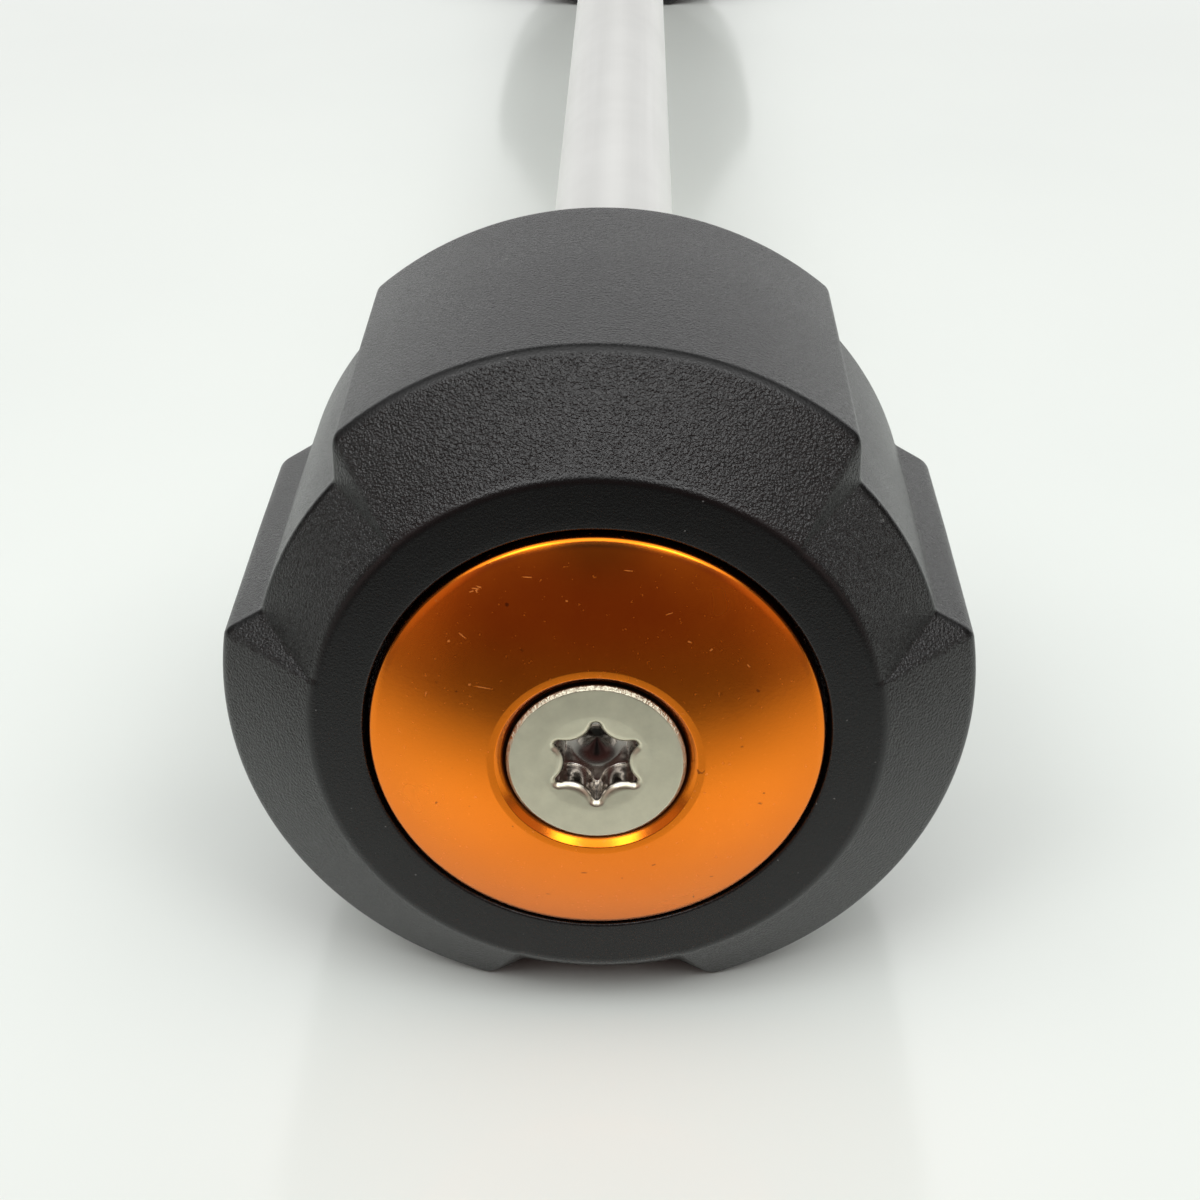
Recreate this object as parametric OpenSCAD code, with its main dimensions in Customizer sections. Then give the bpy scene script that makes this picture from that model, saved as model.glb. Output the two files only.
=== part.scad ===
// Fork protector: a bar through the hollow wheel axle, with a three-lobed slider clamped on each end.
// The bar lies along Y, its middle is the origin, and +Z is up. The left slider is the one at -Y.

/* [Axle bar] */
// Distance between the back faces of the two sliders, the room for the fork and the wheel axle
fork_gap = 335; // [200:1:450]
// Diameter of the bar
bar_d = 16; // [13:0.5:20]
// Width of the bevel round each end of the bar
bar_bevel = 0.5; // [0.2:0.1:0.9]

/* [Slider] */
// Diameter of the slider over its lobes
slider_d = 64; // [58:0.5:76]
// Length of the slider along the bar
slider_len = 40; // [34:0.5:60]
// Outer diameter of the flat ring round the disc
ring_d = 47; // [43:0.5:52]
// Depth of the sloping shoulder between the flat ring and the lobes
shoulder_depth = 6.7; // [4:0.1:10]
// Depth of the mould's parting line, from which the slider's sides taper both ways
parting_depth = 26.5; // [18:0.5:32]
// Taper of the slider's sides, which lets it leave its mould
draft_angle = 0.25; // [0:0.05:0.5]
// Edge radius at the back of the slider
back_edge_r = 1; // [0.4:0.1:2]
// Edge radius where the shoulder meets the lobes
front_edge_r = 1.4; // [0.6:0.1:2]
// Edge radius where the flat ring meets the shoulder
ring_edge_r = 1.2; // [0.5:0.1:2.5]

/* [Grooves] */
// Depth of each groove below the lobes
groove_depth = 2.7; // [1.5:0.1:3.5]
// Half of the angle that a groove takes at the lobes' surface
groove_half_angle = 18.8; // [14:0.2:24]
// Lean of a groove's walls, from a line across the groove
wall_lean = 29; // [22:1:40]
// Radius of the long edges between the lobes and the groove walls
lobe_edge_r = 1.6; // [0.6:0.1:2]

/* [Disc] */
// Diameter of the disc
disc_d = 37.5; // [34:0.5:39]
// Depth of the slider's recess, which the disc sits in
disc_seat = 3; // [2:0.1:4]
// Height of the disc's crest over the slider's flat ring
disc_rise = 3.9; // [2.5:0.1:4.5]
// Width of the narrow flat land round the bolt head
land_width = 0.6; // [0.3:0.1:2]
// Bulge of the disc's slope over a straight cone
slope_bulge = 0.3; // [0.05:0.05:0.6]
// Width of the rounded edge of the disc's rim
rim_edge = 0.5; // [0.2:0.1:0.8]
// Height of the rim's edge over the slider's flat ring
rim_stand = 0.25; // [0:0.05:0.5]
// Width of the bevel round the back of the disc
disc_bevel = 0.4; // [0.2:0.1:0.8]
// Gap between the disc and the wall of the slider's recess
disc_clearance = 0.45; // [0.1:0.05:0.6]
// Width of the bevel round the mouth of the recess
recess_bevel = 0.3; // [0.2:0.1:1]

/* [Bolt] */
// Thread diameter of the bolt
bolt_d = 8; // [6:1:8]
// Length of the bolt, head included
bolt_len = 45; // [40:1:50]
// Diameter of the bolt's head
head_d = 14.8; // [13:0.1:15.8]
// Width of the bevel round the top of the head
head_bevel = 0.4; // [0.2:0.05:0.5]
// Gap between the head's edge and the mouth of the disc's countersink
head_gap = 0.8; // [0.7:0.05:1.2]
// Depth of the head's face below the disc's crest
head_sink = 0.1; // [0:0.05:0.15]
// Size across the points of the six-lobe drive
drive_d = 8; // [6.6:0.1:8.2]
// Depth of the drive's straight walls
drive_depth = 3.1; // [2:0.1:3.4]
// Margin of the shallow dish round the drive
dish_margin = 0.3; // [0.1:0.05:0.8]
// Depth of the dish in its middle
dish_depth = 0.3; // [0.1:0.05:0.5]
// Width of the bevel round the bolt's tip
tip_bevel = 1; // [0.3:0.1:1.5]

/* [Sleeve] */
// Outer diameter of the sleeve that carries the bolt's clamp load through the slider
sleeve_d = 14; // [11.5:0.5:15]
// Length of the sleeve, from the disc to the end of the bar
sleeve_len = 19; // [14:0.5:24]
// Width of the bevel round each end of the sleeve
sleeve_bevel = 0.4; // [0.1:0.1:0.8]
// Gap round the bolt in the disc and in the sleeve
bolt_clearance = 0.25; // [0.1:0.05:0.5]
// Gap round the bar in the slider's socket
bar_clearance = 0.1; // [0.05:0.05:0.3]
// Gap round the sleeve in the slider's bore
sleeve_clearance = 0.05; // [0:0.05:0.2]

/* [Bar ends] */
// Gap between the bolt's thread and the tapped hole in the bar
thread_clearance = 0.1; // [0.05:0.05:0.2]
// Depth that the tapped hole reaches past the bolt's tip
tap_spare = 4; // [1:0.5:8]

/* [Hidden] */

// Roundness of the turned and moulded surfaces
round_fn = 96;
// Steps along each small edge radius, and along the disc's slope
edge_steps = 5;
slope_steps = 8;
// Overshoot of a cutting tool past the surface that it cuts
over = 1;
// Number of lobes, and of the grooves between them
lobes = 3;
// Degrees that a groove's edges turn in between the lobes and the flat ring
edge_turn = 1.2;
// Angle at which a lobe's rounded edge runs out on the lobe's surface
edge_exit = 6;
// Fall of the disc's rounded edge, as a share of its width
rim_fall = 0.6;
// Proportions of a six-lobe drive, as shares of its outer radius
drive_core = 0.9;
point_size = 0.145;
flute_size = 0.448;
flute_place = 1.164;
// Slope of the cone that ends the drive and the tapped holes
drill_slope = 0.6;
// Margin between the drive's cone and its flutes
drill_margin = 0.15;

// Slider sizes that follow from the ones above
lobe_r = slider_d / 2;
floor_r = lobe_r - groove_depth;
ring_r = ring_d / 2;
face_y = -fork_gap / 2 - slider_len;

// Where the pieces seat, as depths behind the slider's flat ring
disc_back = disc_seat;
sleeve_back = disc_back + sleeve_len;
bar_r = bar_d / 2;
bar_len = fork_gap + 2 * (slider_len - sleeve_back);

// Bolt head in its countersink: both lie on one 90 degree cone, whose radius falls as its depth grows
bolt_r = bolt_d / 2;
head_r = head_d / 2;
sink_r = head_r + head_gap;
crest = -disc_rise;
cone_sum = crest + sink_r;
head_top = crest + head_sink;
hole_r = bolt_r + bolt_clearance;
drive_r = drive_d / 2;

// Groove walls, where they stand behind the shoulder
wall_x = lobe_r * sin(groove_half_angle);
wall_z = lobe_r * cos(groove_half_angle);
wall_slope = tan(wall_lean);
apex_z = wall_z - wall_x * wall_slope;
// At the flat ring a groove's edges keep nearly the angle that they have on the lobes
ring_edge_angle = groove_half_angle - edge_turn;
apex_ring_z = ring_r * (cos(ring_edge_angle) - sin(ring_edge_angle) * wall_slope);
shoulder_tilt = atan((apex_z - apex_ring_z) / shoulder_depth);

// Points on an arc round a centre, from one angle to another
function arc(c, r, a0, a1, n) =
    [for (i = [0 : n]) c + r * [cos(a0 + (a1 - a0) * i / n), sin(a0 + (a1 - a0) * i / n)]];

// A straight corner replaced by an arc that touches both of its sides
function unit(v) = v / norm(v);
function rounded(before, corner, after, r, n) =
    let (u = unit(before - corner),
         v = unit(after - corner),
         half = acos(u * v) / 2,
         c = corner + unit(u + v) * r / sin(half),
         p = corner + u * r / tan(half) - c,
         q = corner + v * r / tan(half) - c,
         a0 = atan2(p[1], p[0]),
         turn = atan2(p[0] * q[1] - p[1] * q[0], p * q))
    arc(c, r, a0, a0 + turn, n);

// A profile is drawn as radius and depth, and spun round the bar's axis with its depth along +Y
module spun(profile) {
    rotate([-90, 0, 0])
        mirror([0, 1, 0])
            rotate_extrude($fn = round_fn)
                polygon(profile);
}

// A bore along the bar's axis between two depths
module bore(r, from, to) {
    translate([0, from, 0])
        rotate([-90, 0, 0])
            cylinder(h = to - from, r = r, $fn = round_fn);
}

// Solid of revolution that the lobes, or the groove floors, are part of
module slider_form(r) {
    foot = [ring_r, 0];
    brow = [r - (parting_depth - shoulder_depth) * tan(draft_angle), shoulder_depth];
    waist = [r, parting_depth];
    heel = [r - (slider_len - parting_depth) * tan(draft_angle), slider_len];
    spun(concat(
        [[0, 0]],
        rounded([0, 0], foot, brow, ring_edge_r, edge_steps),
        rounded(foot, brow, waist, front_edge_r, edge_steps),
        [waist],
        rounded(waist, heel, [0, slider_len], back_edge_r, edge_steps),
        [[0, slider_len]]));
}

// Section of a groove: two leaning walls that open outwards, with the lobes' edges rounded off
function groove_section() =
    let (corner = [wall_x, wall_z],
         foot = [0, apex_z],
         // along the lobe's surface, leaning in a little so that the arc crosses the surface
         fall = groove_half_angle + edge_exit,
         along = corner + [cos(fall), -sin(fall)],
         edge = rounded(foot, corner, along, lobe_edge_r, edge_steps),
         end = edge[len(edge) - 1],
         out = end + 3 * groove_depth * [cos(fall), sin(fall)])
    concat([foot], edge, [out, [out[0], lobe_r + 4 * over]]);

module groove_cutter() {
    side = groove_section();
    mirrored = [for (i = [len(side) - 1 : -1 : 1]) [-side[i][0], side[i][1]]];
    translate([0, -over, 0])
        rotate([90, 0, 0])
            mirror([0, 0, 1])
                linear_extrude(slider_len + 2 * over)
                    polygon(concat(side, mirrored));
    // On the shoulder the same walls run down to the flat ring
    reach = 2 * lobe_r;
    translate([0, shoulder_depth, apex_z])
        rotate([shoulder_tilt, 0, 0])
            rotate([90, 0, 0])
                linear_extrude(reach, center = true)
                    polygon([[0, 0],
                             [reach, reach * wall_slope * cos(shoulder_tilt)],
                             [-reach, reach * wall_slope * cos(shoulder_tilt)]]);
}

module slider_body() {
    difference() {
        union() {
            slider_form(floor_r);
            difference() {
                slider_form(lobe_r);
                for (i = [0 : lobes - 1])
                    rotate([0, 180 + i * 360 / lobes, 0])
                        groove_cutter();
            }
        }
        // Recess for the disc, with a bevelled mouth
        recess_r = disc_d / 2 + disc_clearance;
        spun([[0, -over],
              [recess_r + recess_bevel + over, -over],
              [recess_r, recess_bevel],
              [recess_r, disc_back],
              [0, disc_back]]);
        bore(sleeve_d / 2 + sleeve_clearance, disc_back - over, sleeve_back + over);
        bore(bar_r + bar_clearance, sleeve_back, slider_len + over);
    }
}

module disc_body() {
    rim = disc_d / 2;
    land_r = sink_r + land_width;
    // The slope is a shallow arc from the rim up to the flat land
    low = [rim - rim_edge, -rim_stand - rim_edge * rim_fall];
    high = [land_r, crest];
    chord = norm(high - low);
    slope_r = (chord * chord / 4 + slope_bulge * slope_bulge) / (2 * slope_bulge);
    span = asin(chord / 2 / slope_r);
    lean = atan2(high[1] - low[1], high[0] - low[0]);
    centre = (low + high) / 2 + (slope_r - slope_bulge) * [cos(lean + 90), sin(lean + 90)] * -1;
    start = atan2(low[1] - centre[1], low[0] - centre[0]);
    spun(concat(
        [[hole_r, disc_back],
         [hole_r, cone_sum - hole_r],
         [sink_r, crest]],
        arc(centre, slope_r, start - 2 * span, start, slope_steps),
        rounded(low, [rim, -rim_stand], [rim, disc_back], rim_edge / 2, 3),
        [[rim, disc_back - disc_bevel],
         [rim - disc_bevel, disc_back]]));
}

// Six-lobe drive: a round core with six round points, and a flute between each two
module drive_outline() {
    point_r = drive_r * point_size;
    union() {
        difference() {
            circle(r = drive_r * drive_core, $fn = round_fn);
            for (i = [0 : 5])
                rotate(i * 60)
                    translate([drive_r * flute_place, 0])
                        circle(r = drive_r * flute_size, $fn = 48);
        }
        for (i = [0 : 5])
            rotate(30 + i * 60)
                translate([drive_r - point_r, 0])
                    circle(r = point_r, $fn = 24);
    }
}

module bolt_body() {
    tip = head_top + bolt_len;
    difference() {
        spun([[0, head_top],
              [head_r - head_bevel, head_top],
              [head_r, head_top + head_bevel],
              [head_r, cone_sum - head_r],
              [bolt_r, cone_sum - bolt_r],
              [bolt_r, tip - tip_bevel],
              [bolt_r - tip_bevel, tip],
              [0, tip]]);
        translate([0, head_top - over, 0])
            rotate([-90, 0, 0])
                linear_extrude(drive_depth + over)
                    drive_outline();
        // The drive ends in a cone, a little inside its flutes
        core_r = drive_r * (flute_place - flute_size) - drill_margin;
        spun([[0, head_top + drive_depth - over],
              [core_r, head_top + drive_depth - over],
              [core_r, head_top + drive_depth],
              [0, head_top + drive_depth + core_r * drill_slope]]);
        // Shallow dish round the mouth of the drive
        spun([[0, head_top - over],
              [drive_r + dish_margin, head_top - over],
              [drive_r + dish_margin, head_top],
              [0, head_top + dish_depth]]);
    }
}

module sleeve_body() {
    outer = sleeve_d / 2;
    spun([[hole_r, disc_back],
          [outer - sleeve_bevel, disc_back],
          [outer, disc_back + sleeve_bevel],
          [outer, sleeve_back - sleeve_bevel],
          [outer - sleeve_bevel, sleeve_back],
          [hole_r, sleeve_back]]);
}

// Places a piece on the left end, or turns it round to the right end
module left_end() {
    translate([0, face_y, 0])
        children();
}

module right_end() {
    rotate([0, 0, 180])
        left_end()
            children();
}

module axle_rod() {
    half = bar_len / 2;
    tap_r = bolt_r + thread_clearance;
    tap_end = half - (head_top + bolt_len - sleeve_back) - tap_spare;
    color("gainsboro")
        spun([[0, -tap_end + tap_r * drill_slope],
              [tap_r, -tap_end],
              [tap_r, -half],
              [bar_r - bar_bevel, -half],
              [bar_r, -half + bar_bevel],
              [bar_r, half - bar_bevel],
              [bar_r - bar_bevel, half],
              [tap_r, half],
              [tap_r, tap_end],
              [0, tap_end - tap_r * drill_slope]]);
}

module left_slider() {
    color("dimgray")
        left_end()
            slider_body();
}

module right_slider() {
    color("dimgray")
        right_end()
            slider_body();
}

module left_disc() {
    color("darkorange")
        left_end()
            disc_body();
}

module right_disc() {
    color("darkorange")
        right_end()
            disc_body();
}

module left_bolt() {
    color("silver")
        left_end()
            bolt_body();
}

module right_bolt() {
    color("silver")
        right_end()
            bolt_body();
}

module left_sleeve() {
    color("lightgray")
        left_end()
            sleeve_body();
}

module right_sleeve() {
    color("lightgray")
        right_end()
            sleeve_body();
}

axle_rod();
left_slider();
right_slider();
left_disc();
right_disc();
left_bolt();
right_bolt();
left_sleeve();
right_sleeve();
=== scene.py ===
"""Looks of the fork protector: a bright bar with a black three-lobed slider, an orange disc and a
countersunk bolt on each end, lying on a pale glossy table. Lengths are in metres."""
import math

import bmesh
import bpy
import numpy as np
from mathutils import Matrix, Vector


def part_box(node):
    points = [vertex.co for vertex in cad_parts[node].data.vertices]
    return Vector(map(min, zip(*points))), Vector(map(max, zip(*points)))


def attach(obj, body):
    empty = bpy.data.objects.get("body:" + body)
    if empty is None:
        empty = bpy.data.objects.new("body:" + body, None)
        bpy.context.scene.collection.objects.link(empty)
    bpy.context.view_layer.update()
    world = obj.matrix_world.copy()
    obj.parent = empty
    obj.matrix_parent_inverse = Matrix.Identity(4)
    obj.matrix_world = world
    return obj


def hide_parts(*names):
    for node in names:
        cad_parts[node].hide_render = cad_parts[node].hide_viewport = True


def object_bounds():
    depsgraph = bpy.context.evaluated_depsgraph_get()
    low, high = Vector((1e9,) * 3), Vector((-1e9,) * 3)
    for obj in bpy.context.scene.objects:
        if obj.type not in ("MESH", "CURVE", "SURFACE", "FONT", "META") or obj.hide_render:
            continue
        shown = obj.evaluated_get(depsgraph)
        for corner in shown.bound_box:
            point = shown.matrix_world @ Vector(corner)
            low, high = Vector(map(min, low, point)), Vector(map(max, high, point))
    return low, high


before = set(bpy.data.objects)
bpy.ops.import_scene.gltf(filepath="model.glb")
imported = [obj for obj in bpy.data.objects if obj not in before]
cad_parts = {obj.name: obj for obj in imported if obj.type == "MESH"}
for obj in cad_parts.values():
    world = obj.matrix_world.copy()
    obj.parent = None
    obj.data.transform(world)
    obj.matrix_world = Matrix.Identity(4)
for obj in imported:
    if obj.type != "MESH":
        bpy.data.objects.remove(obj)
cad_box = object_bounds()
MM = 0.001

# Places and sizes that follow from the frame. Depths are measured from the slider's flat ring
SLIDER_LOW, SLIDER_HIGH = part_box("left_slider")
DISC_LOW, DISC_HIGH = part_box("left_disc")
BOLT_LOW, BOLT_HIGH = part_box("left_bolt")
ROD_LOW, ROD_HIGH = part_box("axle_rod")
RING_Y = SLIDER_LOW.y
FLOOR_Z = cad_box[0][2]
LOBE_R = SLIDER_HIGH.z
SLIDER_LEN = SLIDER_HIGH.y - SLIDER_LOW.y
DISC_R = DISC_HIGH.x
CREST = DISC_LOW.y - RING_Y
DISC_BACK = DISC_HIGH.y - RING_Y
HEAD_R = BOLT_HIGH.x
HEAD_TOP = BOLT_LOW.y - RING_Y
BOLT_TIP = BOLT_HIGH.y - RING_Y
ROD_R = ROD_HIGH.x
ROD_END = ROD_LOW.y - RING_Y

# Slider
RING_R = 23.5 * MM
SHOULDER = 6.7 * MM
GROOVE = 2.7 * MM
GROOVE_ANGLE = math.radians(18.8)
RING_ANGLE = math.radians(17.6)
WALL_SLOPE = math.tan(math.radians(29))
PARTING = 26.5 * MM
DRAFT = math.tan(math.radians(0.25))
LOBES = 3
RING_EDGE = 1.2 * MM
BACK_EDGE = 1.0 * MM
LOBE_BLEND = 0.75 * MM
FLOOR_BLEND = 0.28 * MM
BROW_BLEND = 0.75 * MM
GROOVE_BROW = 0.32 * MM
RECESS_GAP = 0.45 * MM
RECESS_BEVEL = 0.3 * MM
RECESS_FILLET = 0.25 * MM
SLEEVE_R = 7.05 * MM
BAR_GAP = 0.1 * MM
SOCKET_R = ROD_R + BAR_GAP
SOCKET_BEVEL = 0.3 * MM
BROW_SPAN = 0.8 * MM
SIDE_DEPTHS = (9 * MM, 14 * MM, 20 * MM, 26 * MM, PARTING, 27 * MM, 33 * MM, 38 * MM)

# Disc and bolt
SINK_GAP = 0.8 * MM
SINK_R = HEAD_R + SINK_GAP
SINK_EDGE = 0.12 * MM
LAND = 0.6 * MM
LAND_EDGE = 0.35 * MM
HOLE_R = 4.25 * MM
SLOPE_BULGE = 0.3 * MM
RIM_EDGE = 0.5 * MM
RIM_STAND = 0.25 * MM
RIM_ROUND = 0.6 * MM
DISC_BEVEL = 0.4 * MM
CONE_SUM = CREST + SINK_R
BOLT_R = 4 * MM
DRIVE_R = 4 * MM
DRIVE_DEEP = 3.1 * MM
POINT_R = 0.58 * MM
FLUTE_PLACE = 4.656 * MM
BOWL_R = 2.3 * MM
BOWL_SLOPE = 0.6
BOWL_EASE = 1.1 * MM
WALL_FILLET = 0.13 * MM
MOUTH = 0.42 * MM
MOUTH_INSIDE = 0.27 * MM
DISH_R = 4.5 * MM
DISH_DEEP = 0.3 * MM
HEAD_BEVEL = 0.4 * MM
HEAD_WEAR = 0.1 * MM
FACE_EDGE = 0.12 * MM
BEVEL_EDGE = 0.2 * MM
CONE_EDGE = 0.1 * MM
PITCH = 1.25 * MM
THREAD_DEEP = 0.62 * MM
THREAD_LEN = 28 * MM
TIP_BEVEL = 1 * MM

# Bar
TAP_GAP = 0.1 * MM
TAP_SPARE = 4 * MM
BAR_BEVEL = 0.5 * MM
BAR_EDGE = 0.2 * MM


def new_object(name, mesh, material, replaces):
    obj = bpy.data.objects.new(name, mesh)
    bpy.context.scene.collection.objects.link(obj)
    mesh.materials.append(material)
    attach(obj, "root")
    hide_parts(replaces)
    return obj


def mesh_from(name, verts, faces, side, crisp=30):
    """A mesh of the left end, turned round for the right end. Edges sharper than the angle stay crisp."""
    mesh = bpy.data.meshes.new(name)
    mesh.from_pydata(verts, [], faces)
    bm = bmesh.new()
    bm.from_mesh(mesh)
    bmesh.ops.remove_doubles(bm, verts=bm.verts, dist=1e-7)
    if side == "right":
        bmesh.ops.rotate(bm, verts=bm.verts, cent=(0, 0, 0), matrix=Matrix.Rotation(math.pi, 3, "Z"))
    bmesh.ops.recalc_face_normals(bm, faces=bm.faces)
    for face in bm.faces:
        face.smooth = True
    for edge in bm.edges:
        if len(edge.link_faces) == 2 and edge.calc_face_angle(0) > math.radians(crisp):
            edge.smooth = False
    bm.to_mesh(mesh)
    bm.free()
    mesh.update()
    return mesh


def skin(rings, closed=False):
    """Vertices and faces of rings of points, each ring joined to the next one."""
    count = len(rings[0])
    verts = [tuple(p) for ring in rings for p in ring]
    faces = []
    for i in range(len(rings) if closed else len(rings) - 1):
        low = i * count
        high = (i + 1) % len(rings) * count
        for j in range(count):
            k = (j + 1) % count
            faces.append((low + j, low + k, high + k, high + j))
    return verts, faces


def arc(centre, radius, start, end, steps):
    """Points (r, depth) on an arc, angles in degrees from the r axis towards the depth axis."""
    return [(centre[0] + radius * math.cos(math.radians(start + (end - start) * i / steps)),
             centre[1] + radius * math.sin(math.radians(start + (end - start) * i / steps)))
            for i in range(steps + 1)]


def rounded(before, corner, after, radius, steps):
    """A corner of a profile replaced by an arc that touches both sides."""
    b, c, a = (np.array(p, float) for p in (before, corner, after))
    u = (b - c) / np.linalg.norm(b - c)
    v = (a - c) / np.linalg.norm(a - c)
    half = math.acos(float(np.clip(u @ v, -1, 1))) / 2
    middle = (u + v) / np.linalg.norm(u + v)
    centre = c + middle * radius / math.sin(half)
    p = c + u * radius / math.tan(half) - centre
    q = c + v * radius / math.tan(half) - centre
    start = math.atan2(p[1], p[0])
    turn = math.atan2(p[0] * q[1] - p[1] * q[0], float(p @ q))
    return [(centre[0] + radius * math.cos(start + turn * i / steps),
             centre[1] + radius * math.sin(start + turn * i / steps)) for i in range(steps + 1)]


def between(p, q, steps):
    """Points between two ends of a straight stretch, both ends left out."""
    return [(p[0] + (q[0] - p[0]) * i / steps, p[1] + (q[1] - p[1]) * i / steps)
            for i in range(1, steps)]


def ring_of(radius, depth, angles):
    """One ring of points. The radius and the depth are numbers, or arrays with a value per angle."""
    r = np.broadcast_to(radius, angles.shape)
    y = RING_Y + np.broadcast_to(depth, angles.shape)
    return np.stack([r * np.cos(angles), y, r * np.sin(angles)], axis=1).tolist()


def even_angles(count):
    return np.arange(count) * 2 * math.pi / count


def turned(name, profile, segments, side):
    """A closed profile of (radius, depth) points spun round the bar's axis."""
    angles = even_angles(segments)
    verts, faces = skin([ring_of(r, depth, angles) for r, depth in profile], closed=True)
    return mesh_from(name, verts, faces, side)


def soft_min(a, b, blend):
    h = np.maximum(blend - np.abs(a - b), 0) / blend
    return np.minimum(a, b) - h * h * blend / 4


def soft_max(a, b, blend):
    return -soft_min(-a, -b, blend)


# Slider

def slider_angles():
    """Angles round the slider: fine over the groove walls, coarser over the lobes and groove floors."""
    floor = np.arange(-9.8, 9.9, 1.4)
    wall = np.arange(10.5, 21.6, 0.16)
    lobe = np.arange(22.2, 60, 1.05)
    span = np.concatenate([-lobe[::-1], -wall[::-1], floor, wall, lobe])
    return np.radians(np.concatenate([-90 + k * 360 / LOBES + span for k in range(LOBES)]))


def from_groove(angles):
    """Angle of each point from the middle of the nearest groove."""
    turn = 2 * math.pi / LOBES
    return np.abs((angles + math.pi / 2 + turn / 2) % turn - turn / 2)


def side_radius(phi, depth):
    """Radius of the slider's outer skin, with its lobes, grooves and rounded brow."""
    floor_r = LOBE_R - GROOVE
    lean = np.abs(depth - PARTING) * DRAFT
    brow_lean = (PARTING - SHOULDER) * DRAFT
    lobe = soft_min(RING_R + depth * (LOBE_R - brow_lean - RING_R) / SHOULDER, LOBE_R - lean, BROW_BLEND)
    floor = soft_min(RING_R + depth * (floor_r - brow_lean - RING_R) / SHOULDER, floor_r - lean,
                     GROOVE_BROW)
    apex = LOBE_R * (math.cos(GROOVE_ANGLE) - math.sin(GROOVE_ANGLE) * WALL_SLOPE)
    apex_ring = RING_R * (math.cos(RING_ANGLE) - math.sin(RING_ANGLE) * WALL_SLOPE)
    foot = soft_min(apex_ring + depth * (apex - apex_ring) / SHOULDER, apex + depth * 0, GROOVE_BROW)
    wall = foot / (np.cos(phi) - WALL_SLOPE * np.sin(phi))
    # The step fades out towards the ring, and its rounded edges with it
    fade = np.clip(depth / SHOULDER, 0.08, 1)
    return soft_max(floor, soft_min(lobe, wall, LOBE_BLEND * fade), FLOOR_BLEND * fade)


def slider_mesh(name, side):
    angles = slider_angles()
    phi = from_groove(angles)
    # Rounded edge of the flat ring, with each point's own slope behind it
    probe = 1.5 * MM
    slope = (side_radius(phi, probe) - RING_R) / probe
    bend = np.arctan2(1, slope)
    tangent = RING_EDGE * np.tan(bend / 2)
    rings = []
    mouth = DISC_R + RECESS_GAP + RECESS_BEVEL
    recess = DISC_R + RECESS_GAP

    def add(radius, depth):
        rings.append(ring_of(radius, depth, angles))

    # Inner side, from the socket at the back to the mouth of the recess
    sleeve_back = ROD_END
    for r, depth in ([(SOCKET_R + SOCKET_BEVEL, SLIDER_LEN), (SOCKET_R, SLIDER_LEN - SOCKET_BEVEL),
                      (SOCKET_R, sleeve_back), (SLEEVE_R, sleeve_back), (SLEEVE_R, DISC_BACK)]
                     + [(SLEEVE_R + 4 * MM, DISC_BACK), (recess - 0.3 * MM, DISC_BACK)]
                     + rounded((recess - 2 * MM, DISC_BACK), (recess, DISC_BACK), (recess, 1 * MM),
                               RECESS_FILLET, 3)
                     + rounded((recess, 2 * MM), (recess, 0), (mouth + 1 * MM, 0), RECESS_BEVEL, 7)):
        add(r, depth)
    add(mouth + 0.9 * MM, 0)
    add(mouth + 1.7 * MM, 0)
    # Flat ring's rounded edge
    steps = 9
    for i in range(steps + 1):
        part = bend * i / steps
        add(RING_R - tangent + RING_EDGE * np.sin(part), RING_EDGE * (1 - np.cos(part)))
    # Shoulder and long sides
    start = RING_EDGE * (1 - np.cos(bend))
    brow = SHOULDER - BROW_SPAN
    for share in np.linspace(0, 1, 25)[1:-1]:
        depth = start + (brow - start) * share
        add(side_radius(phi, depth), depth)
    for depth in list(np.linspace(brow, SHOULDER + BROW_SPAN, 18)) + list(SIDE_DEPTHS):
        add(side_radius(phi, depth + angles * 0), depth)
    # Back edge and back face
    heel = side_radius(phi, SLIDER_LEN - BACK_EDGE + angles * 0)
    for i in range(7):
        a = math.pi / 2 * i / 6
        add(heel - BACK_EDGE * (1 - math.cos(a)), SLIDER_LEN - BACK_EDGE * (1 - math.sin(a)))
    low = SOCKET_R + SOCKET_BEVEL
    for share in (0.75, 0.5, 0.25):
        add(low + (heel - BACK_EDGE - low) * share, SLIDER_LEN)
    verts, faces = skin(rings, closed=True)
    return mesh_from(name, verts, faces, side)


# Disc

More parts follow.
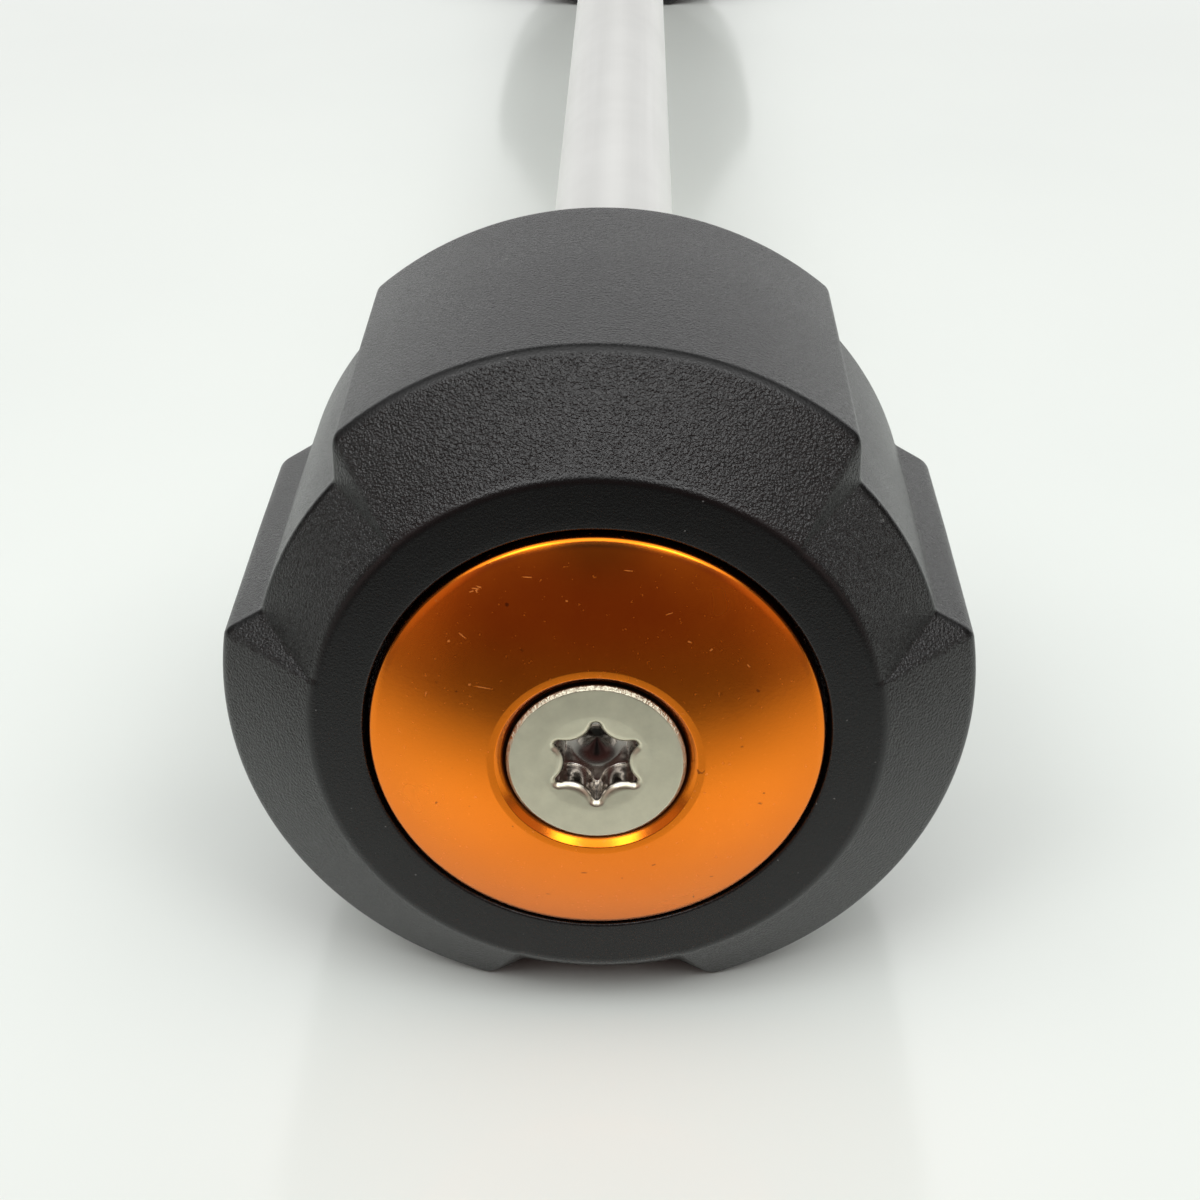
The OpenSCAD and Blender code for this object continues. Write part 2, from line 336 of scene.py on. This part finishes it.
def disc_mesh(name, side):
    land_r = SINK_R + LAND
    # The face is an arc that bulges from the chord between the rim and the land round the countersink
    low = np.array((DISC_R - RIM_EDGE, -RIM_STAND - 0.6 * RIM_EDGE))
    high = np.array((land_r, CREST))
    chord = float(np.linalg.norm(high - low))
    slope_r = (chord * chord / 4 + SLOPE_BULGE ** 2) / (2 * SLOPE_BULGE)
    span = math.degrees(math.asin(chord / 2 / slope_r))
    lean = math.atan2(high[1] - low[1], high[0] - low[0])
    centre = (low + high) / 2 - (slope_r - SLOPE_BULGE) * np.array((math.cos(lean + math.pi / 2),
                                                                      math.sin(lean + math.pi / 2)))
    start = math.degrees(math.atan2(low[1] - centre[1], low[0] - centre[0]))
    slope = arc(centre, slope_r, start - 2 * span, start, 40)
    throat = CONE_SUM - HOLE_R
    profile = ([(HOLE_R, DISC_BACK), (HOLE_R, throat)]
               + between((HOLE_R, throat), (SINK_R, CREST), 6)
               + rounded((HOLE_R, throat), (SINK_R, CREST), (land_r, CREST), SINK_EDGE, 5)
               + rounded((SINK_R, CREST), (land_r, CREST), slope[4], LAND_EDGE, 4)
               + slope[1:]
               + rounded(slope[-2], (DISC_R, -RIM_STAND), (DISC_R, DISC_BACK), RIM_ROUND, 9)
               + [(DISC_R, DISC_BACK - DISC_BEVEL), (DISC_R - DISC_BEVEL, DISC_BACK), (12 * MM, DISC_BACK)])
    return turned(name, profile, 256, side)


# Bolt

def drive_radius(angles):
    """Outline of the six-lobe drive: round points joined by round flutes that touch them."""
    place = DRIVE_R - POINT_R
    gap = math.sqrt(place ** 2 + FLUTE_PLACE ** 2 - 2 * place * FLUTE_PLACE * math.cos(math.pi / 6))
    flute_r = gap - POINT_R
    # Angle, from the middle of a point, at which the point's arc meets the flute's
    px, py = place * math.cos(math.pi / 6), place * math.sin(math.pi / 6)
    tx = px + (FLUTE_PLACE - px) * POINT_R / gap
    ty = py - py * POINT_R / gap
    meet = math.pi / 6 - math.atan2(ty, tx)
    turn = math.pi / 3
    delta = np.abs((angles - math.pi / 6 + turn / 2) % turn - turn / 2)
    flute = turn / 2 - delta
    point = place * np.cos(delta) + np.sqrt(np.maximum(POINT_R ** 2 - (place * np.sin(delta)) ** 2, 0))
    hollow = (FLUTE_PLACE * np.cos(flute)
              - np.sqrt(np.maximum(flute_r ** 2 - (FLUTE_PLACE * np.sin(flute)) ** 2, 0)))
    return np.where(delta <= meet, point, hollow)


def widened(radii, angles, by):
    """Radii of a closed curve that lies a distance outside the curve of the given radii."""
    x, z = radii * np.cos(angles), radii * np.sin(angles)
    dx, dz = np.roll(x, -1) - np.roll(x, 1), np.roll(z, -1) - np.roll(z, 1)
    length = np.hypot(dx, dz)
    x, z = x + dz / length * by, z - dx / length * by
    return np.interp(angles, np.arctan2(z, x), np.hypot(x, z), period=2 * math.pi)


def bolt_mesh(name, side):
    count = 576
    angles = even_angles(count)
    outline = drive_radius(angles)
    drive = widened(outline, angles, -MOUTH_INSIDE)
    floor = HEAD_TOP + DRIVE_DEEP
    rings = []

    def bowl(radius):
        """Depth of the drive's floor: flat near the walls, then a cone with a soft start."""
        inward = max(BOWL_R - radius, 0)
        if inward < BOWL_EASE:
            return floor + BOWL_SLOPE * inward ** 2 / (2 * BOWL_EASE)
        return floor + BOWL_SLOPE * (inward - BOWL_EASE / 2)

    def add(radius, depth):
        rings.append(ring_of(radius, depth, angles))

    # Drive: a bowl and straight walls
    for radius in np.linspace(0.06, BOWL_R / MM, 14) * MM:
        add(radius, bowl(radius))
    add((BOWL_R + drive - WALL_FILLET) / 2, floor)
    for i in range(5):
        a = math.pi / 2 * i / 4
        add(drive - WALL_FILLET * (1 - math.sin(a)), floor - WALL_FILLET * (1 - math.cos(a)))
    for depth in (0.25, 0.5, 0.75, 0.9):
        add(drive, floor - (DRIVE_DEEP - MOUTH) * depth)

    def dish(radius):
        return HEAD_TOP + DISH_DEEP * np.maximum(1 - radius / DISH_R, 0)

    # Mouth: nearly a bevel, with soft ends, and a shallow dish round it
    for i in range(9):
        share = i / 8
        a = math.pi / 2 * share
        inner = widened(outline, angles, MOUTH * (0.5 * (1 - math.cos(a)) + 0.5 * share) - MOUTH_INSIDE)
        add(inner, dish(inner) + MOUTH * (0.5 * (1 - math.sin(a)) + 0.5 * (1 - share)))
    for share in (0.25, 0.5, 0.75, 0.95):
        radius = inner + (DISH_R - inner) * share
        add(radius, dish(radius))
    add(DISH_R + 0.08 * MM, HEAD_TOP)
    edge = HEAD_R - HEAD_BEVEL
    for share in (0.3, 0.65, 0.97):
        add(DISH_R + (edge - DISH_R) * share, HEAD_TOP)
    outer = HEAD_R - HEAD_WEAR
    bevel_end = (outer, HEAD_TOP + HEAD_BEVEL - HEAD_WEAR)
    for r, depth in (rounded((0, HEAD_TOP), (edge, HEAD_TOP), bevel_end, FACE_EDGE, 4)
                     + rounded((edge, HEAD_TOP), bevel_end, (outer, CONE_SUM - outer), BEVEL_EDGE, 4)
                     + rounded((outer, HEAD_TOP), (outer, CONE_SUM - outer), (BOLT_R, CONE_SUM - BOLT_R),
                               CONE_EDGE, 3)
                     + between((outer, CONE_SUM - outer), (BOLT_R, CONE_SUM - BOLT_R), 3)
                     + [(BOLT_R, CONE_SUM - BOLT_R)]):
        add(r, depth)
    verts, faces = skin(rings)
    verts.append((0, RING_Y + bowl(0), 0))
    centre = len(verts) - 1
    faces += [((j + 1) % count, j, centre) for j in range(count)]

    # Shank and thread, with fewer points round it
    fewer = 48
    ratio = count // fewer
    turns = even_angles(fewer)
    begin = BOLT_TIP - THREAD_LEN
    depths = [CONE_SUM - BOLT_R + 0.4 * MM, begin] + list(np.arange(begin + PITCH / 8, BOLT_TIP, PITCH / 8))
    shank = []
    for depth in depths:
        wave = np.abs(((depth / PITCH - turns / (2 * math.pi)) % 1) * 2 - 1)
        cut = THREAD_DEEP * np.clip(wave * 1.3 - 0.15, 0, 1)
        start = np.clip((depth - begin) / PITCH, 0, 1)
        tip = np.clip((BOLT_TIP - depth) / TIP_BEVEL, 0, 1)
        radius = np.minimum(BOLT_R - cut * start, BOLT_R - TIP_BEVEL * (1 - tip))
        shank.append(ring_of(radius, depth, turns))
    shank.append(ring_of(BOLT_R - TIP_BEVEL, BOLT_TIP, turns))
    base = len(verts)
    more, quads = skin(shank)
    verts += more
    faces += [tuple(base + i for i in quad) for quad in quads]
    last = (len(rings) - 1) * count
    for j in range(fewer):
        wide = [last + (j * ratio + i) % count for i in range(ratio + 1)]
        faces.append(tuple(wide + [base + (j + 1) % fewer, base + j]))
    faces.append(tuple(len(verts) - fewer + j for j in range(fewer)))
    return mesh_from(name, verts, faces, side)


# Bar

def bar_mesh(name):
    half = ROD_HIGH.y
    tap_r = BOLT_R + TAP_GAP
    tap_end = half - (BOLT_TIP - ROD_END) - TAP_SPARE
    end = rounded((tap_r, -half), (ROD_R - BAR_BEVEL, -half), (ROD_R, -half + BAR_BEVEL), BAR_EDGE, 3)
    end += rounded((ROD_R - BAR_BEVEL, -half), (ROD_R, -half + BAR_BEVEL), (ROD_R, 0), BAR_EDGE, 3)
    left = [(0.02 * MM, -tap_end + tap_r * 0.6), (tap_r, -tap_end), (tap_r, -half + BAR_BEVEL),
            (tap_r + BAR_BEVEL, -half)] + end
    middle = [(ROD_R, y) for y in np.linspace(-half + 2 * MM, half - 2 * MM, 30)]
    right = [(r, -y) for r, y in reversed(left)]
    profile = [(r, y - RING_Y) for r, y in left + middle + right]
    angles = even_angles(160)
    verts, faces = skin([ring_of(r, d, angles) for r, d in profile])
    count = len(angles)
    faces.append(tuple(range(count)))
    faces.append(tuple(len(verts) - count + j for j in range(count)))
    return mesh_from(name, verts, faces, "left")


# Materials

class Nodes:
    """Short calls that add nodes to a material or to the world."""

    def __init__(self, tree, place):
        self.tree = tree
        self.place = tree.nodes.new("ShaderNodeTexCoord").outputs[place]

    def put(self, value, socket):
        if isinstance(value, (int, float, tuple)):
            if isinstance(value, tuple) and len(value) == 3 and socket.type == "RGBA":
                value = value + (1,)
            socket.default_value = value
        else:
            self.tree.links.new(value, socket)

    def math(self, operation, a, b=0.0):
        node = self.tree.nodes.new("ShaderNodeMath")
        node.operation = operation
        self.put(a, node.inputs[0])
        self.put(b, node.inputs[1])
        return node.outputs[0]

    def scaled(self, vector, scale):
        node = self.tree.nodes.new("ShaderNodeVectorMath")
        node.operation = "MULTIPLY"
        self.put(vector, node.inputs[0])
        self.put(scale, node.inputs[1])
        return node.outputs[0]

    def noise(self, scale, detail=2.0, rough=0.5, vector=None):
        node = self.tree.nodes.new("ShaderNodeTexNoise")
        self.put(vector or self.place, node.inputs["Vector"])
        self.put(float(scale), node.inputs["Scale"])
        self.put(float(detail), node.inputs["Detail"])
        self.put(float(rough), node.inputs["Roughness"])
        return node.outputs["Fac"]

    def spread(self, value, low, high, to_low=0.0, to_high=1.0, smooth=False):
        node = self.tree.nodes.new("ShaderNodeMapRange")
        node.interpolation_type = "SMOOTHSTEP" if smooth else "LINEAR"
        self.put(value, node.inputs["Value"])
        self.put(float(low), node.inputs["From Min"])
        self.put(float(high), node.inputs["From Max"])
        self.put(float(to_low), node.inputs["To Min"])
        self.put(float(to_high), node.inputs["To Max"])
        return node.outputs["Result"]

    def mix(self, share, a, b):
        node = self.tree.nodes.new("ShaderNodeMix")
        node.data_type = "RGBA"
        self.put(share, node.inputs["Factor"])
        self.put(a, [s for s in node.inputs if s.name == "A" and s.type == "RGBA"][0])
        self.put(b, [s for s in node.inputs if s.name == "B" and s.type == "RGBA"][0])
        return [s for s in node.outputs if s.type == "RGBA"][0]

    def bump(self, height, distance, strength=1.0, below=None):
        node = self.tree.nodes.new("ShaderNodeBump")
        self.put(height, node.inputs["Height"])
        self.put(float(distance), node.inputs["Distance"])
        self.put(strength, node.inputs["Strength"])
        if below is not None:
            self.put(below, node.inputs["Normal"])
        return node.outputs["Normal"]

    def axes(self):
        node = self.tree.nodes.new("ShaderNodeSeparateXYZ")
        self.put(self.place, node.inputs[0])
        return node.outputs

    def joined(self, x, y, z):
        node = self.tree.nodes.new("ShaderNodeCombineXYZ")
        self.put(x, node.inputs[0])
        self.put(y, node.inputs[1])
        self.put(z, node.inputs[2])
        return node.outputs[0]


class Paint(Nodes):
    """A procedural material with a principled shader."""

    def __init__(self, name):
        self.mat = bpy.data.materials.new(name)
        self.mat.use_nodes = True
        tree = self.mat.node_tree
        tree.nodes.clear()
        super().__init__(tree, "Object")
        out = tree.nodes.new("ShaderNodeOutputMaterial")
        self.shader = tree.nodes.new("ShaderNodeBsdfPrincipled")
        tree.links.new(self.shader.outputs[0], out.inputs["Surface"])

    def set(self, **values):
        for name, value in values.items():
            self.put(value, self.shader.inputs[name.replace("_", " ")])

    def end_depth(self):
        """Depth behind the flat ring, the same on both ends."""
        axes = self.axes()
        return self.math("SUBTRACT", -RING_Y, self.math("ABSOLUTE", axes[1]))

    def from_axis(self):
        axes = self.axes()
        square = self.math("ADD", self.math("MULTIPLY", axes[0], axes[0]),
                           self.math("MULTIPLY", axes[2], axes[2]))
        return self.math("SQRT", square)

    def round_axis(self):
        axes = self.axes()
        return self.math("ARCTAN2", axes[2], axes[0])


def slider_material():
    p = Paint("moulded_black")
    grain = p.noise(4500, 1.5, 0.55)
    fine = p.noise(8500, 1.0, 0.5)
    patch = p.noise(60, 3.0, 0.55)
    # The grain is strong on the shoulders, weaker on the long sides, and faint on the ring and the brow
    depth = p.end_depth()
    from_ring = p.spread(depth, 0.1 * MM, 0.7 * MM, 0.12, 1.0, smooth=True)
    to_brow = p.spread(depth, SHOULDER - 0.55 * MM, SHOULDER - 0.15 * MM, 1.0, 0.2, smooth=True)
    sides = p.spread(depth, SHOULDER + 0.2 * MM, SHOULDER + 1.2 * MM, 0.0, 0.65, smooth=True)
    rough = p.math("ADD", p.math("MULTIPLY", from_ring, to_brow), sides)
    colour = p.mix(p.spread(patch, 0.35, 0.65), (0.0030, 0.0031, 0.0032), (0.0046, 0.0047, 0.0048))
    dust = p.spread(p.noise(1500, 2.0, 0.6), 0.745, 0.76)
    colour = p.mix(p.math("MULTIPLY", dust, 0.7), colour, (0.16, 0.16, 0.155))
    p.set(Base_Color=colour,
          Roughness=p.math("ADD", p.spread(patch, 0.3, 0.7, 0.27, 0.31),
                           p.spread(fine, 0.3, 0.7, -0.04, 0.04)),
          Specular_IOR_Level=p.spread(rough, 0.1, 1.0, 0.45, 0.6))
    low = p.bump(fine, 0.03 * MM, p.math("ADD", p.math("MULTIPLY", rough, 0.6), 0.3))
    p.set(Normal=p.bump(grain, 0.19 * MM, rough, below=low))
    return p.mat


# Fine scratches on the near disc: place (x, z) in millimetres, turn in degrees, half length, half width
SCRATCHES = ((-9.4, 14.6, 3, 0.32, 0.05), (-9.1, 14.75, -10, 0.20, 0.06), (-9.7, 14.35, 22, 0.20, 0.05),
             (-9.3, 14.5, 50, 0.13, 0.07), (-9.3, 14.4, -58, 0.13, 0.06), (-10.5, 10.9, -34, 0.36, 0.06),
             (-11.6, 10.3, 10, 0.10, 0.09), (-8.9, 6.9, -3, 0.62, 0.05), (-10.0, 7.0, 5, 0.10, 0.08),
             (-5.3, 15.8, 2, 0.36, 0.04), (7.4, 10.8, -25, 0.16, 0.06), (9.1, 10.0, 40, 0.11, 0.07),
             (5.8, 13.1, 12, 0.28, 0.04), (12.1, 8.3, -50, 0.18, 0.05), (-2.2, 14.2, 8, 0.11, 0.07),
             (2.6, 16.4, -6, 0.36, 0.035), (-13.6, 5.6, 75, 0.22, 0.045))
# Small dark pits, in the same form
PITS = ((-1.1, -11.2, 0, 0.26, 0.08), (4.7, -10.4, 20, 0.20, 0.08), (13.4, -4.8, -30, 0.2, 0.1),
        (-13.2, -4.8, 60, 0.16, 0.09), (-4.2, -14.4, 0, 0.2, 0.05), (9.6, -12.8, 0, 0.14, 0.07))


def marks_mask(p, marks, wobble):
    """Union of short ragged strokes on the near disc."""
    total = None
    for x, z, turn, half_length, half_width in marks:
        place = p.tree.nodes.new("ShaderNodeMapping")
        place.vector_type = "TEXTURE"
        p.put(p.place, place.inputs["Vector"])
        p.put((x * MM, 0.0, z * MM), place.inputs["Location"])
        p.put((0.0, math.radians(-turn), 0.0), place.inputs["Rotation"])
        p.put((half_length * MM, 1.0, half_width * MM), place.inputs["Scale"])
        away = p.tree.nodes.new("ShaderNodeSeparateXYZ")
        p.put(place.outputs[0], away.inputs[0])
        far = p.math("MAXIMUM", p.math("ABSOLUTE", away.outputs[0]), p.math("ABSOLUTE", away.outputs[2]))
        spot = p.spread(p.math("ADD", far, p.math("MULTIPLY", wobble, 1.5)), 1.2, 1.9, 1.0, 0.0)
        total = spot if total is None else p.math("MAXIMUM", total, spot)
    near_end = p.spread(p.axes()[1], -MM, MM, 1.0, 0.0)
    return p.math("MULTIPLY", total, near_end)


def disc_material():
    p = Paint("orange_anodised")
    radius = p.from_axis()
    turn = p.joined(p.math("MULTIPLY", radius, 9000.0), p.math("MULTIPLY", p.round_axis(), 1.2), 0.0)
    marks = p.noise(1.0, 3.0, 0.6, vector=turn)
    speck = p.noise(3000, 2.0, 0.6)
    patch = p.noise(90, 3.0, 0.6)
    colour = p.mix(p.spread(patch, 0.3, 0.7), (0.92, 0.215, 0.003), (0.96, 0.235, 0.005))
    ragged = p.noise(9000, 2.0, 0.7)
    scuff = marks_mask(p, SCRATCHES, ragged)
    rubbed = p.spread(p.noise(2600, 2.0, 0.6), 0.69, 0.74)
    scuff = p.math("MAXIMUM", p.math("MULTIPLY", scuff, 0.5), p.math("MULTIPLY", rubbed, 0.16))
    colour = p.mix(scuff, colour, (0.95, 0.42, 0.13))
    pit = p.math("MAXIMUM", marks_mask(p, PITS, ragged), p.spread(p.noise(900, 2.0, 0.6), 0.735, 0.76))
    colour = p.mix(p.math("MULTIPLY", pit, 0.7), colour, (0.20, 0.035, 0.003))
    # Painted shade in the narrow gap round the bolt's head
    gap_shade = p.math("MULTIPLY", p.spread(radius, HEAD_R + 0.12 * MM, HEAD_R + 0.36 * MM, 0.9, 0.0),
                   p.spread(p.end_depth(), CREST + 0.3 * MM, CREST + 0.45 * MM))
    colour = p.mix(gap_shade, colour, (0.012, 0.006, 0.004))
    # The turned edges of the rim and the countersink are smoother than the face
    edge = p.math("MAXIMUM", p.spread(radius, DISC_R - 0.75 * MM, DISC_R - 0.5 * MM),
                  p.spread(radius, SINK_R, SINK_R + 0.15 * MM, 1.0, 0.0))
    face = p.math("SUBTRACT", p.spread(patch, 0.3, 0.7, 0.23, 0.28), p.math("MULTIPLY", edge, 0.08))
    dull = p.math("ADD", p.math("MULTIPLY", scuff, 0.3), p.math("MULTIPLY", gap_shade, 0.3))
    p.set(Base_Color=colour, Metallic=p.math("SUBTRACT", 1.0, p.math("MULTIPLY", scuff, 0.7)),
          Roughness=p.math("ADD", face, dull), Coat_Weight=0.6, Coat_Roughness=0.3, Coat_IOR=1.3)
    low = p.bump(marks, 0.004 * MM, 0.25)
    p.set(Normal=p.bump(p.math("SUBTRACT", speck, scuff), 0.008 * MM, 0.5, below=low))
    return p.mat


def bolt_material():
    p = Paint("stainless")
    patch = p.noise(600, 4.0, 0.6)
    fine = p.noise(3600, 2.0, 0.6)
    colour = p.mix(p.spread(patch, 0.3, 0.7), (0.64, 0.615, 0.475), (0.74, 0.715, 0.555))
    # The forged drive and its mouth are smoother than the head's face, and its walls are streaked.
    radius = p.from_axis()
    depth = p.end_depth()
    inside = p.math("MULTIPLY", p.spread(radius, 4.0 * MM, 4.5 * MM, 1.0, 0.0),
                    p.spread(depth, HEAD_TOP + 0.25 * MM, HEAD_TOP + 0.4 * MM, 0.0, 1.0))
    walls = p.math("MULTIPLY", p.math("MULTIPLY", inside, p.spread(radius, 2.6 * MM, 2.8 * MM, 0.0, 1.0)),
                   p.spread(depth, HEAD_TOP + 0.35 * MM, HEAD_TOP + 0.7 * MM, 0.0, 1.0))
    # Painted shade in the recess: the drive's inside is painted darker, and its floor darker still towards
    # the middle
    colour = p.mix(inside, colour, (0.52, 0.49, 0.45))
    drive_floor_shade = p.spread(radius, 0.8 * MM, 2.8 * MM, 0.9, 0.0, smooth=True)
    colour = p.mix(drive_floor_shade, colour, (0.09, 0.09, 0.085))
    # Painted shade on the head's side, down in the gap round it
    gap_shade = p.math("MULTIPLY", p.spread(radius, HEAD_R - 0.25 * MM, HEAD_R - 0.1 * MM, 0.0, 0.8),
                   p.spread(depth, HEAD_TOP + 0.3 * MM, HEAD_TOP + 0.45 * MM))
    colour = p.mix(gap_shade, colour, (0.02, 0.014, 0.012))
    p.set(Base_Color=colour, Metallic=1.0,
          Roughness=p.math("SUBTRACT", p.spread(patch, 0.3, 0.7, 0.30, 0.36),
                           p.math("MULTIPLY", inside, 0.15)))
    streak = p.noise(1.0, 1.5, 0.5, vector=p.joined(p.math("MULTIPLY", p.round_axis(), 3.0),
                                                     p.math("MULTIPLY", depth, 1100.0),
                                                     p.math("MULTIPLY", radius, 400.0)))
    drawn = p.bump(streak, 0.12 * MM, p.math("MULTIPLY", walls, 0.6))
    # Turning marks on the head's bevelled rim
    rim = p.spread(radius, HEAD_R - HEAD_BEVEL - 0.05 * MM, HEAD_R - HEAD_BEVEL + 0.05 * MM)
    nick = p.noise(1.0, 3.0, 0.65, vector=p.joined(p.math("MULTIPLY", p.round_axis(), 30.0),
                                                    p.math("MULTIPLY", radius, 2500.0), 0.0))
    cut = p.bump(nick, 0.22 * MM, p.math("MULTIPLY", rim, 0.9), below=drawn)
    p.set(Normal=p.bump(fine, 0.008 * MM, 0.45, below=cut))
    return p.mat


def bar_material():
    p = Paint("drawn_aluminium")
    drawn = p.noise(1.0, 3.0, 0.6, vector=p.scaled(p.place, (2600.0, 12.0, 2600.0)))
    patch = p.noise(45, 3.0, 0.6)
    colour = p.mix(p.spread(patch, 0.3, 0.7), (0.84, 0.84, 0.815), (0.90, 0.90, 0.875))
    p.set(Base_Color=colour, Metallic=1.0, Roughness=p.spread(drawn, 0.3, 0.7, 0.38, 0.48))
    p.set(Normal=p.bump(drawn, 0.01 * MM, 0.4))
    return p.mat


def sleeve_material():
    p = Paint("turned_aluminium")
    marks = p.noise(1.0, 2.0, 0.5, vector=p.scaled(p.place, (60.0, 6000.0, 60.0)))
    colour = p.mix(p.noise(200, 2.0), (0.62, 0.63, 0.64), (0.74, 0.75, 0.76))
    p.set(Base_Color=colour, Metallic=1.0, Roughness=p.spread(marks, 0.3, 0.7, 0.25, 0.4))
    p.set(Normal=p.bump(marks, 0.008 * MM, 0.4))
    return p.mat


def table_material():
    """Pale glossy table. Its reflections carry painted shade towards the place where the photographer
    stood, and the table seen straight on is painted a little darker in the distance."""
    p = Paint("pale_table")
    patch = p.noise(9, 3.0, 0.5)
    colour = p.mix(p.spread(patch, 0.3, 0.7), (0.76, 0.80, 0.765), (0.79, 0.83, 0.79))
    seen = p.mix(p.spread(patch, 0.3, 0.7), (0.84, 0.885, 0.845), (0.87, 0.915, 0.87))
    # Painted shade in reflections, towards the place where the photographer stood
    shade = p.spread(p.axes()[1], RING_Y - 98 * MM, RING_Y - 31 * MM, 0.12, 1.0)
    dark = p.mix(shade, (0.0, 0.0, 0.0), colour)
    # Painted shade on the table seen straight on, a little darker in the distance
    far = p.spread(p.axes()[1], RING_Y + 80 * MM, RING_Y + 340 * MM, 1.0, 0.90)
    seen = p.mix(far, (0.0, 0.0, 0.0), seen)
    path = p.tree.nodes.new("ShaderNodeLightPath")
    p.set(Base_Color=p.mix(path.outputs["Is Camera Ray"], dark, seen), Roughness=0.14,
          Specular_IOR_Level=0.5)
    return p.mat


# Camera, table and light

CAMERA_PLACE = Vector((3.18, RING_Y / MM - 142.81, 93.53)) * MM
PITCH_DOWN = math.radians(29.40)
YAW = math.radians(-1.14)
ROLL = math.radians(-0.43)
SENSOR = 36
LENS = 62.30
TABLE_SPAN = 8.0
# The light's strengths in red, green and blue: low all round, low in front, and in the two side lights
TINTS = ((0.07, 0.045, 1.0), (0.06, -0.015, 0.7), (0.055, -0.015, 0.66))
BACKDROP = (0.86, 0.89, 0.86)


def add_camera():
    data = bpy.data.cameras.new("camera")
    data.sensor_width = SENSOR
    data.lens = LENS
    data.clip_start = 0.005
    data.clip_end = 50
    ahead = Vector((math.sin(YAW) * math.cos(PITCH_DOWN), math.cos(YAW) * math.cos(PITCH_DOWN),
                    -math.sin(PITCH_DOWN)))
    level = Vector((math.cos(YAW), -math.sin(YAW), 0))
    over = level.cross(ahead)
    right = level * math.cos(ROLL) + over * math.sin(ROLL)
    up = over * math.cos(ROLL) - level * math.sin(ROLL)
    camera = bpy.data.objects.new("camera", data)
    bpy.context.scene.collection.objects.link(camera)
    axes = Matrix((right, up, -ahead)).transposed()
    camera.matrix_world = Matrix.Translation(CAMERA_PLACE) @ axes.to_4x4()
    bpy.context.scene.camera = camera


def add_table():
    half = TABLE_SPAN / 2
    mesh = bpy.data.meshes.new("table")
    corners = [(x, y, FLOOR_Z) for x, y in ((-half, -half), (half, -half), (half, half), (-half, half))]
    mesh.from_pydata(corners, [], [(0, 1, 2, 3)])
    table = bpy.data.objects.new("table", mesh)
    bpy.context.scene.collection.objects.link(table)
    mesh.materials.append(table_material())


def add_light():
    """Light of the room: a bright canopy in front and above, a pale wall at the back, a dim warm front."""
    world = bpy.data.worlds.new("room")
    world.use_nodes = True
    bpy.context.scene.world = world
    shade = world.node_tree.nodes["Background"]
    n = Nodes(world.node_tree, "Generated")
    axes = n.axes()

    def lobe(azimuth, elevation, inner, outer, glow):
        """A soft round light. The azimuth is 0 on the camera's side and grows to the right."""
        a, e = math.radians(azimuth), math.radians(elevation)
        dot = n.tree.nodes.new("ShaderNodeVectorMath")
        dot.operation = "DOT_PRODUCT"
        n.put(n.place, dot.inputs[0])
        n.put((math.sin(a) * math.cos(e), -math.cos(a) * math.cos(e), math.sin(e)), dot.inputs[1])
        return n.spread(dot.outputs["Value"], math.cos(math.radians(outer)), math.cos(math.radians(inner)),
                        0.0, glow, smooth=True)

    canopy = n.math("MULTIPLY", n.spread(axes[1], -0.38, 0.5, 1.85, 0.08),
                    n.math("MULTIPLY", n.spread(axes[2], 0.44, 0.70, smooth=True),
                           n.spread(axes[2], 0.75, 0.93, 1.0, 1.2)))
    wall = n.math("MULTIPLY", n.spread(axes[1], 0.45, 0.70, 0.0, 1.0, smooth=True),
                  n.math("MULTIPLY", n.spread(axes[2], 0.66, 0.78, 1.0, 0.0, smooth=True),
                         n.spread(axes[2], 0.15, 0.5, 1.0, 0.6)))
    side = n.math("ADD", lobe(57, 14, 8, 24, 0.4), lobe(-57, 14, 8, 24, 0.4))
    hot = n.math("ADD", lobe(40, 48, 6, 15, 3.4), lobe(-40, 48, 6, 15, 3.4))
    white = n.math("ADD", n.math("ADD", canopy, wall), n.math("ADD", hot, lobe(180, 41, 4, 14, 1.1)))
    low = n.math("MULTIPLY", n.spread(axes[2], 0.5, 0.7, 1.0, 0.0, smooth=True),
                 n.spread(axes[1], 0.3, 0.6, 1.0, 0.0, smooth=True))
    front = n.math("MULTIPLY", low, n.spread(axes[1], -0.75, -0.5, 1.0, 0.0, smooth=True))
    # The camera's own place is dark
    gap = n.math("SUBTRACT", 1.0, lobe(0, 33, 8, 18, 0.92))
    shares = []
    for low_glow, front_glow, side_glow in TINTS:
        near = n.math("ADD", n.math("MULTIPLY", front, front_glow), n.math("MULTIPLY", side, side_glow))
        warm = n.math("ADD", n.math("MULTIPLY", low, low_glow), near)
        shares.append(n.math("MULTIPLY", gap, n.math("ADD", white, warm)))
    room = n.joined(*shares)
    path = n.tree.nodes.new("ShaderNodeLightPath")
    n.put(n.mix(path.outputs["Is Camera Ray"], room, BACKDROP), shade.inputs["Color"])


bpy.context.scene.view_settings.view_transform = "Standard"
add_camera()
add_table()
add_light()

black = slider_material()
orange = disc_material()
steel = bolt_material()
sleeve_metal = sleeve_material()
for end in ("left", "right"):
    new_object(end + "_slider_skin", slider_mesh(end + "_slider_skin", end), black,
               end + "_slider")
    new_object(end + "_disc_skin", disc_mesh(end + "_disc_skin", end), orange, end + "_disc")
    new_object(end + "_bolt_skin", bolt_mesh(end + "_bolt_skin", end), steel, end + "_bolt")
    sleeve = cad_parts[end + "_sleeve"]
    for slot in sleeve.material_slots:
        slot.material = sleeve_metal
new_object("bar_skin", bar_mesh("bar_skin"), bar_material(), "axle_rod")
